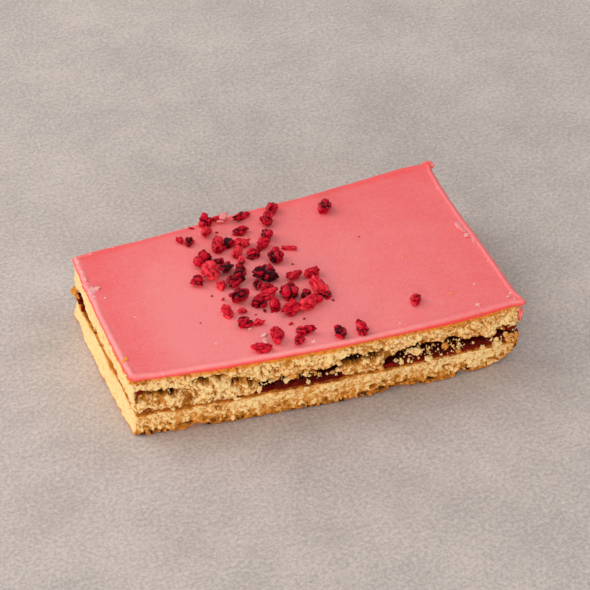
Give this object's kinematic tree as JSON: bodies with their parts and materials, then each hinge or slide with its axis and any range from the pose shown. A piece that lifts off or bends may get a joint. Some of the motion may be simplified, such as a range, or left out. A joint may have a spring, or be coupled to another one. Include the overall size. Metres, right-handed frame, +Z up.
{
  "type": "raspberry slice",
  "caption": "Rectangular bakery slice of crumbly pastry layers with raspberry jam between them, pink icing on top and dried raspberry bits scattered over it.",
  "frame": {"origin": "under the middle of the slice, on the surface it rests on", "axes": "+X to the right along the long front edge, +Y from the front edge to the back, +Z up through the icing"},
  "size_m": [0.1117, 0.0689, 0.0241],
  "materials": {
    "pastry_base": "matt golden shortcrust with a fine open crumb and a browned underside",
    "raspberry_jam": "glossy dark red jam",
    "pastry_lid": "matt golden shortcrust, torn and crumbly along the cut sides, browned under the icing",
    "pink_icing": "smooth set pink icing with a soft sheen, and crimson dried raspberry bits"
  },
  "bodies": {
    "root": {"bottom_pastry": "pastry_base", "jam": "raspberry_jam", "top_pastry": "pastry_lid", "icing": "pink_icing"}
  },
  "joints": []
}
